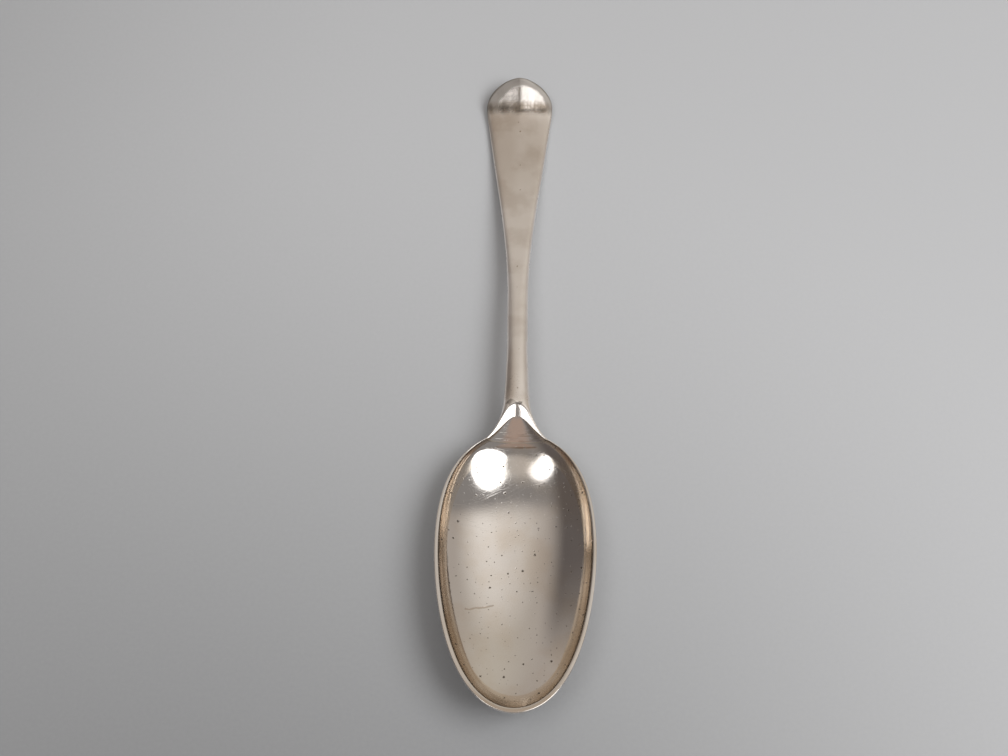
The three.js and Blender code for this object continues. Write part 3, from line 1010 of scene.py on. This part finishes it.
def placed_group(tree, key, place, **values):
    """The effect of that key, each output a field"""
    node = new_node(tree, "ShaderNodeGroup", node_tree=shared_group(key))
    tree.links.new(place, node.inputs["Place"])
    for label, value in values.items():
        node.inputs[label.capitalize()].default_value = value
    return [Field(tree, socket) for socket in node.outputs]


def scratches_group():
    """Long thin marks that run one way, broken up here and there"""
    tree, place, (turn, fine, stretch, cover) = new_group(
        "Scratches", ("Scratch",), turn=0.0, fine=5000.0, stretch=60.0, cover=0.4,
    )
    turned = new_node(tree, "ShaderNodeVectorRotate", rotation_type="Z_AXIS")
    tree.links.new(place, turned.inputs["Vector"])
    tree.links.new(turn.socket, turned.inputs["Angle"])
    x, y, z = parts(tree, turned.outputs[0])
    long = fine / stretch
    lines = noise(tree, joined(tree, x * fine, y * long, z * long), 1.0, 1.0)
    patches = noise(tree, joined(tree, x * long, y * long, z * long), 0.6, 1.0)
    limit = 0.7 - cover * 0.25
    return closed_group(tree, ramp(lines, limit, limit + 0.06) * ramp(patches, 0.42, 0.6))


def pits_group():
    """Small round pits, only in some cells of a random pattern"""
    tree, place, (spacing, size_share, cover) = new_group(
        "Pits", ("Pit",), spacing=0.004, size=0.2, cover=0.3,
    )
    cells = new_node(tree, "ShaderNodeTexVoronoi", voronoi_dimensions="2D")
    x, y, _ = parts(tree, place)
    uneven = noise(tree, place, 2500.0, 1.0) * 0.12
    tree.links.new(joined(tree, x / spacing + uneven, y / spacing + uneven, 0.0), cells.inputs["Vector"])
    cells.inputs["Scale"].default_value = 1.0
    chance, wide, _ = parts(tree, cells.outputs["Color"])
    radius = size_share * (0.35 + wide * wide * 0.65)
    distance = Field(tree, cells.outputs["Distance"])
    return closed_group(tree, above(cover, chance) * ramp(distance, radius, radius * 0.45))


def tarnish_group():
    """Cloudy stains at two sizes"""
    tree, place, (scale,) = new_group("Tarnish", ("Clouds", "Smears"), scale=60.0)
    x, y, z = parts(tree, place)
    clouds = noise(tree, joined(tree, x * scale, y * scale, z * scale), 1.0, 5.0)
    smears = noise(tree, joined(tree, x * scale * 3.0, y * scale * 1.2, z * scale), 1.0, 3.0)
    return closed_group(tree, ramp(clouds, 0.42, 0.66), ramp(smears, 0.4, 0.65))


GROUPS = {"scratches": scratches_group, "pits": pits_group, "tarnish": tarnish_group}


def shared_group(key):
    """The node group of that key, built once"""
    name = key.capitalize()
    return bpy.data.node_groups.get(name) or GROUPS[key]()


def shaded(tree, base, roughness, height, depth):
    """Metal from a colour, a roughness and a height in metres times depth"""
    shader = new_node(tree, "ShaderNodeBsdfPrincipled")
    shader.inputs["Metallic"].default_value = 1
    tree.links.new(base, shader.inputs["Base Color"])
    tree.links.new(roughness.socket, shader.inputs["Roughness"])
    bump = new_node(tree, "ShaderNodeBump")
    bump.inputs["Distance"].default_value = depth
    tree.links.new(height.socket, bump.inputs["Height"])
    tree.links.new(bump.outputs[0], shader.inputs["Normal"])
    result = new_node(tree, "ShaderNodeOutputMaterial")
    tree.links.new(shader.outputs[0], result.inputs["Surface"])


def crossed_scratches(tree, place, turns, fine, stretch, cover):
    """Scratches that run several ways"""
    total = None
    for turn in turns:
        values = {"turn": math.radians(turn), "fine": fine, "stretch": stretch, "cover": cover}
        scratch, = placed_group(tree, "scratches", place, **values)
        total = scratch if total is None else larger(total, scratch)
    return total


def line_mark(place, start, end, width):
    """A mark along the line between two places in the object's plan"""
    x, y = place
    run = (end[0] - start[0], end[1] - start[1])
    whole = run[0] ** 2 + run[1] ** 2
    t = share(((x - start[0]) * run[0] + (y - start[1]) * run[1]) / whole)
    right = x - start[0] - t * run[0]
    ahead = y - start[1] - t * run[1]
    return ramp(sqrt(right * right + ahead * ahead), width, width * 0.3)


def polished_silver(finish):
    """The bowl: bright, with fine scratches, small dark pits and a brown stain near the rim"""
    material, tree, place = empty_material("polished silver")
    x, y, _ = parts(tree, place)
    spread = attribute(tree, SPREAD)
    fine = crossed_scratches(tree, place, (8, -35, 62, 97), 6000.0, 60.0, 0.26)
    coarse = crossed_scratches(tree, place, (80, 20), 3000.0, 45.0, 0.1)
    pit, = placed_group(tree, "pits", place, spacing=0.0044, size=0.105, cover=0.62)
    dust, = placed_group(tree, "pits", place, spacing=0.0019, size=0.14, cover=0.45)
    clouds, smears = placed_group(tree, "tarnish", place, scale=70.0)
    grain = noise(tree, place, 1800.0, 2.0) - 0.5
    inside = ramp(spread, 1.02, 0.98)
    band = ramp(spread, 0.885, 0.9) * inside * ramp(JOINT_Y - y, 0.003, 0.008)
    rim = ramp(spread, 1.3, 1.4) * ramp(spread, 1.7, 1.6)
    front = ramp(y, FRONT_FROM, FRONT_TO)
    marks = larger(pit, dust * 0.7) * inside
    uneven = noise(tree, place, 500.0, 2.0) * 0.0012
    dent = line_mark((x, y + uneven), DENT_START, DENT_END, DENT_WIDTH)
    seam = line_mark((x, y), (-SEAM_HALF, SEAM_Y), (SEAM_HALF, SEAM_Y), SEAM_WIDTH)
    silver = mixed(tree, finish.silver, finish.warm, share(band * 0.35 + clouds * 0.2))
    edges = band * clouds * 0.15 + rim * front * 0.55
    stain = share(clouds * 0.08 + edges + dent * 0.4 + seam * (0.2 + smears * 0.5))
    stained = mixed(tree, silver, finish.tarnish, stain)
    base = mixed(tree, stained, finish.pit, share(marks * 0.95))
    bright = 0.05 + smears * 0.04 + clouds * 0.03 + fine * 0.05 + grain * 0.06
    roughness = bright + marks * 0.3 + band * 0.12 + rim * 0.1
    waves = noise(tree, place, 90.0, 1.0) * (1.0 - band * 0.7)
    lines = fine * 0.02 + coarse * 0.025
    height = waves * 0.3 - lines * (1.0 - band) - marks * 0.35 - dent * 0.4 + grain * 0.05
    shaded(tree, base, roughness, height, BOWL_BUMP)
    return material


BOWL_BUMP = 0.00006
HANDLE_BUMP = 0.00005
SOLDER_BUMP = 0.00002
DENT_START = (-0.0133, -0.069)
DENT_END = (-0.0059, -0.0672)
DENT_WIDTH = 0.00035
SEAM_HALF = 0.0055
SEAM_Y = JOINT_Y - 0.0013
SEAM_WIDTH = 0.0003
FRONT_FROM = -0.085
FRONT_TO = -0.098


def satin_silver(finish):
    """The handle: dulled by fine wear, still polished round the hollow's top and at the end, with painted
    shade on its left side and on the end, and painted dark reflections on the stem and round the end
    """
    material, tree, place = empty_material("satin silver")
    x, y, _ = parts(tree, place)
    spread = attribute(tree, SPREAD)
    up = y - JOINT_Y
    to_end = JOINT_Y + HANDLE_LENGTH - y
    fine = crossed_scratches(tree, place, (3, -50, 48, 85), 4200.0, 40.0, 0.5)
    coarse = crossed_scratches(tree, place, (85, 65, 12), 2600.0, 35.0, 0.2)
    pit, = placed_group(tree, "pits", place, spacing=0.005, size=0.09, cover=0.2)
    clouds, smears = placed_group(tree, "tarnish", place, scale=110.0)
    grain = noise(tree, place, 2200.0, 3.0) - 0.5
    edge = ramp(spread, 0.86, 0.98)
    # Places that are still polished: round the hollow's top and on the turned-up end
    heel = ramp(up, POLISH_HEEL + 0.002, POLISH_HEEL)
    border = to_end - noise(tree, place, 260.0, 3.0) * 0.003
    tip = ramp(border, POLISH_END + 0.0015, POLISH_END - 0.0015)
    worn = tip * ramp(to_end, 0.006, 0.0085)
    polish = larger(heel, tip)
    flared = ramp(to_end, 0.05, 0.02)
    # Painted shade: the left side darker towards the end
    painted_left_shade = ramp(x, 0.0008, -0.003) * ramp(to_end, 0.06, 0.03)
    wall = ramp(up, 0.0075, 0.006)
    # Wear and stains, with painted shade on the left side towards the end and a painted dark reflection on
    # the stem above the hollow's top
    level, = placed_group(tree, "scratches", place, turn=QUARTER_TURN, fine=2400.0, stretch=9.0, cover=0.9)
    # Painted dark reflection: a dark patch on the stem above the hollow's top, broken up by the smears
    uneven = noise(tree, place, 700.0, 3.0) * 0.003 - 0.0015
    painted_dark_reflection = ramp(line_mark((x + uneven, y + uneven), DARK_REFLECTION_START, DARK_REFLECTION_END, DARK_REFLECTION_WIDTH), 0.1, 0.7)
    dull = (clouds * 0.2 + flared * 0.25 + painted_left_shade * 0.12) * (1.0 - polish)
    marked = pit * 0.6 + worn * (fine * 0.3 + smears * 0.35) + wall * (level * 0.22 + clouds * 0.1)
    # The two facets at the end, dimmed by painted shade that is deeper on the left and broken up by smears,
    # and the brown cap round them, a painted dark reflection of the turned-up end
    right = (x - FACETS_X) / FACETS_HALF
    ahead = (FACETS_LEFT - to_end) / FACETS_LENGTH
    around = sqrt(right * right + ahead * ahead) + (noise(tree, place, 500.0, 3.0) - 0.5) * 0.12
    rounded = tip * ramp(around, 0.92, 1.06)
    foot = tip * ramp(to_end, 0.0062, 0.0088)
    # Painted shade on the stem's left side above the joint, kept off the polished heel
    shade = ramp(x, 0.001, -0.002) * ramp(up, 0.035, 0.012) * (1.0 - heel)
    stain = share(dull + marked + foot * 0.35 + shade * 0.4)
    silver = mixed(tree, finish.satin, finish.tarnish, stain * (1.0 - edge * 0.6))
    # Painted shade on the end's facets, deeper on the left, with some real smears
    painted_facet_shade = tip * (0.46 + ramp(x, 0.0, -0.006) * 0.14 + smears * 0.12 + foot * 0.15)
    # The painted dark reflections and the painted shade of the end, laid on in the pit colour
    dark = share(painted_dark_reflection * (0.3 + smears * 0.4) + larger(rounded * 0.7, painted_facet_shade))
    base = mixed(tree, silver, finish.pit, dark)
    near = ramp(up, 0.05, 0.02)
    satin = 0.38 + clouds * 0.05 + smears * 0.05 - edge * 0.12 - near * 0.1
    bright = 0.06 + smears * 0.04 + worn * 0.04
    roughness = pick(polish, bright, satin) + pit * 0.2 + fine * 0.05 + grain * 0.05 + rounded * 0.3
    height = grain * 0.12 * (1.0 - heel) - fine * (0.05 + worn * 0.25) - coarse * 0.08 - pit * 0.6
    shaded(tree, base, roughness, height, HANDLE_BUMP)
    return material


POLISH_HEEL = 0.0105
POLISH_END = 0.0088
# Where the painted dark reflection lies on the stem, and its width
DARK_REFLECTION_START = (-0.0022, JOINT_Y + 0.0102)
DARK_REFLECTION_END = (0.0005, JOINT_Y + 0.01)
DARK_REFLECTION_WIDTH = 0.001
FACETS_X = 0.0008
FACETS_HALF = 0.0077
FACETS_LEFT = 0.0098
FACETS_LENGTH = 0.0073


def grey_solder(finish):
    """The solder: a dull, slightly grainy grey"""
    material, tree, place = empty_material("grey solder")
    clouds, smears = placed_group(tree, "tarnish", place, scale=400.0)
    base = mixed(tree, finish.solder, finish.tarnish, clouds * 0.5)
    shaded(tree, base, 0.42 + smears * 0.15, noise(tree, place, 3000.0, 2.0), SOLDER_BUMP)
    return material


def dressed(piece, node):
    """Hang the piece on the root body and hide the packed part that it replaces"""
    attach(piece, "root")
    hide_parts(node)


def lofted(scene, name, make, silver, node):
    """A piece from the handle's curves"""
    shape = HandleShape(scene.spoon_bowl, scene.spoon_handle)
    points, faces = make(shape)
    dressed(finished_mesh(name, points, faces, silver(scene.spoon_finish), shape), node)


class SPOON_OT_bowl(Operator):
    """Make the bowl with its node tree"""

    bl_idname = "spoon.bowl"
    bl_label = "Bowl"

    columns: IntProperty(name="Columns", description="Points round the rim", default=361)
    rings: IntProperty(name="Rings", description="Points from hollow to back", default=201)

    def execute(self, context):
        sizes = context.scene.spoon_bowl
        tree, sockets = bowl_tree()
        base = bpy.data.meshes.new("bowl_base")
        shell = linked("bowl_shell", base)
        bend = shell.modifiers.new("Bowl", "NODES")
        bend.node_group = tree
        for prop in sizes_of(BowlSizes):
            bend[sockets[prop.identifier]] = getattr(sizes, prop.identifier)
        bend[sockets["Columns"]] = self.columns
        bend[sockets["Rings"]] = self.rings
        bend[sockets["Silver"]] = polished_silver(context.scene.spoon_finish)
        context.view_layer.update()
        made = bpy.data.meshes.new_from_object(shell.evaluated_get(context.evaluated_depsgraph_get()))
        shell.modifiers.clear()
        shell.data = made
        bpy.data.meshes.remove(base)
        clean(made, None)
        dressed(shell, "bowl")
        return {"FINISHED"}


class SPOON_OT_handle(Operator):
    """Make the handle with its shoulders, turned-up end and drop"""

    bl_idname = "spoon.handle"
    bl_label = "Handle"

    def execute(self, context):
        lofted(context.scene, "handle_body", handle_mesh, satin_silver, "handle")
        return {"FINISHED"}


class SPOON_OT_solder(Operator):
    """Make the solder in the joint"""

    bl_idname = "spoon.solder"
    bl_label = "Solder"

    def execute(self, context):
        lofted(context.scene, "solder_line", seam_mesh, grey_solder, "solder_seam")
        return {"FINISHED"}


# Stage. The room above is told by the direction that it is seen in: x to the right and y
# towards the handle, each the sine of its angle from straight up


def oval(x, y, centre, turn, reach, width, soft):
    """1 inside an oval of directions and 0 outside, with a soft edge"""
    right = x - centre[0]
    ahead = y - centre[1]
    along_it = (right * math.cos(turn) + ahead * math.sin(turn)) / reach
    across_it = (ahead * math.cos(turn) - right * math.sin(turn)) / width
    return ramp(sqrt(along_it * along_it + across_it * across_it), 1.0 + soft, 1.0 - soft)


# Lit places in the room, each with its centre, turn, reach, width and softness
OVERHEAD = ((0.02, -0.13), 0, 0.3, 0.14, 0.5)
IN_FRONT = ((0.0, -0.56), 0, 0.3, 0.1, 0.5)
CEILING = ((0.26, 0.22), 0.1, 0.32, 0.21, 0.95)
WALL = ((0.36, 0.72), 0.4, 0.46, 0.3, 0.9)
KEY = ((0.44, -0.24), math.radians(-33), 0.43, 0.235, 0.04)
FILL = ((-0.35, -0.2), math.radians(33), 0.28, 0.15, 0.05)
ROOM = (0.265, 0.252, 0.245)


def studio_world(settings):
    """The room that the silver mirrors, and the ground's colour where the camera sees past it"""
    world = bpy.data.worlds.new("Studio")
    world.use_nodes = True
    tree = world.node_tree
    tree.nodes.clear()
    x, y, _ = parts(tree, new_node(tree, "ShaderNodeTexCoord").outputs["Generated"])
    paths = new_node(tree, "ShaderNodeLightPath").outputs
    mirrored = 1.0 - Field(tree, paths["Is Diffuse Ray"])
    ahead = ramp(y - x * 0.04, 0.11, 0.22)
    bright = oval(x, y, *CEILING)
    right = oval(x, y, *WALL)
    dark = ramp(x, -0.25, -0.62) * ramp(y, 0.75, 0.35)
    key = oval(x, y, *KEY)
    key_side = ramp(x * 0.788 + y * 0.615, 0.01, 0.05)
    fill = oval(x, y, *FILL)
    fill_side = ramp(y - x, 0.01, 0.06)
    layers = (
        (oval(x, y, *OVERHEAD), (0.55, 0.52, 0.49)),
        (oval(x, y, *IN_FRONT), (0.37, 0.285, 0.24)),
        (ahead, (0.44, 0.4, 0.365)),
        (ahead * right, (0.54, 0.5, 0.44)),
        (ahead * bright, (0.9, 0.86, 0.815)),
        (dark, (0.13, 0.115, 0.11)),
        (key * key_side * mirrored, (1.15, 1.13, 1.1)),
        (key * ramp(x, 0.09, 0.15) * mirrored, (2.4, 2.4, 2.4)),
        (fill * fill_side * mirrored, (0.9, 0.85, 0.85)),
        (fill * fill_side * ramp(x, -0.1, -0.18) * mirrored, (2.0, 2.0, 2.0)),
    )
    light = ROOM
    for mask, tint in layers:
        light = mixed(tree, light, tint, mask)
    seen = Field(tree, paths["Is Camera Ray"])
    light = mixed(tree, light, settings.ground, seen)
    back = new_node(tree, "ShaderNodeBackground")
    tree.links.new(light, back.inputs["Color"])
    result = new_node(tree, "ShaderNodeOutputWorld")
    tree.links.new(back.outputs[0], result.inputs["Surface"])
    bpy.context.scene.world = world


def ground_material(settings):
    """Plain paper with painted shade: darker to the left and in front, where less light falls"""
    material, tree, place = empty_material("ground")
    x, y, _ = parts(tree, place)
    left = eased((LEFT_SHADE_FROM - x) / LEFT_SHADE_OVER)
    right = (x - FRONT_SHADE_AT[0]) / FRONT_SHADE_OVER[0]
    ahead = (y - FRONT_SHADE_AT[1]) / FRONT_SHADE_OVER[1]
    low = eased(1.0 - sqrt(right * right + ahead * ahead))
    # Painted shade: darker to the left and in a pool in front, with a little real paper grain
    dark = (1.0 - left * 0.24) * (1.0 - low * 0.51) + (noise(tree, place, 900.0, 3.0) - 0.5) * 0.05
    shader = new_node(tree, "ShaderNodeBsdfPrincipled")
    tint = mixed(tree, (0.0, 0.0, 0.0), settings.ground, dark)
    tree.links.new(tint, shader.inputs["Base Color"])
    shader.inputs["Roughness"].default_value = 0.9
    shader.inputs["Specular IOR Level"].default_value = 0.1
    result = new_node(tree, "ShaderNodeOutputMaterial")
    tree.links.new(shader.outputs[0], result.inputs["Surface"])
    return material


# Where the ground's painted shade lies
LEFT_SHADE_FROM = -0.03
LEFT_SHADE_OVER = 0.22
FRONT_SHADE_AT = (-0.066, -0.187)
FRONT_SHADE_OVER = (0.3, 0.284)


def area_lamp(name, place, across, power):
    """A round lamp that lights the ground. The silver sees the room's own lamps instead"""
    data = bpy.data.lights.new(name, "AREA")
    data.shape = "DISK"
    data.size = across
    data.energy = power
    lamp = linked(name, data)
    lamp.location = place
    lamp.rotation_euler = Vector(place).to_track_quat("Z", "Y").to_euler()
    lamp.visible_glossy = False


SENSOR = 36
NEAREST = 0.01
GROUND_REACH = 2.0
GROUND_BELOW = 0.0001
LAMPS = (
    ("key lamp", (0.53, -0.16, 0.72), 0.6, 5.3),
    ("fill lamp", (-0.3, -0.17, 0.85), 0.5, 1.5),
)


class SPOON_OT_stage(Operator):
    """Lay the ground, light it and set the camera"""

    bl_idname = "spoon.stage"
    bl_label = "Stage"

    def execute(self, context):
        settings = context.scene.spoon_stage
        mesh = bpy.data.meshes.new("ground")
        corners = [(x * GROUND_REACH, y * GROUND_REACH, 0) for x, y in ((-1, -1), (1, -1), (1, 1), (-1, 1))]
        mesh.from_pydata(corners, [], [(0, 1, 2, 3)])
        mesh.materials.append(ground_material(settings))
        ground = linked("ground", mesh)
        ground.location.z = -GROUND_BELOW

        studio_world(settings)
        for lamp in LAMPS:
            area_lamp(*lamp)

        data = bpy.data.cameras.new("camera")
        data.lens = settings.lens
        data.sensor_width = SENSOR
        data.clip_start = NEAREST
        camera = linked("camera", data)
        turned = Matrix.Rotation(settings.turn, 4, "Z")
        leaned = Matrix.Rotation(settings.lean, 4, "X")
        away = Matrix.Translation((0, 0, settings.distance))
        look = Matrix.Translation((settings.look_x, settings.look_y, 0))
        camera.matrix_world = look @ turned @ leaned @ away
        context.scene.camera = camera
        context.scene.view_settings.view_transform = "Standard"
        return {"FINISHED"}


class SPOON_PT_sidebar(Panel):
    """Lists the pieces and their sizes"""

    bl_label = "Tablespoon"
    bl_idname = "SPOON_PT_sidebar"
    bl_space_type = "VIEW_3D"
    bl_region_type = "UI"
    bl_category = "Tablespoon"

    def draw(self, context):
        for operator in PIECES:
            self.layout.operator(operator.bl_idname)
        for key, group in SETTINGS.items():
            box = self.layout.box()
            box.label(text=group.__doc__)
            for prop in sizes_of(group):
                box.prop(getattr(context.scene, key), prop.identifier)


SETTINGS = {
    "spoon_bowl": BowlSizes,
    "spoon_handle": HandleSizes,
    "spoon_finish": Finish,
    "spoon_stage": Stage,
}
PIECES = (SPOON_OT_bowl, SPOON_OT_handle, SPOON_OT_solder, SPOON_OT_stage)


def register():
    for group in SETTINGS.values():
        bpy.utils.register_class(group)
    for key, group in SETTINGS.items():
        setattr(bpy.types.Scene, key, PointerProperty(type=group))
    for operator in PIECES:
        bpy.utils.register_class(operator)
    bpy.utils.register_class(SPOON_PT_sidebar)


def unregister():
    bpy.utils.unregister_class(SPOON_PT_sidebar)
    for operator in reversed(PIECES):
        bpy.utils.unregister_class(operator)
    for key in SETTINGS:
        delattr(bpy.types.Scene, key)
    for group in reversed(SETTINGS.values()):
        bpy.utils.unregister_class(group)


def main():
    register()
    bpy.ops.spoon.bowl()
    bpy.ops.spoon.handle()
    bpy.ops.spoon.solder()
    bpy.ops.spoon.stage()


if __name__ == "__main__":
    main()
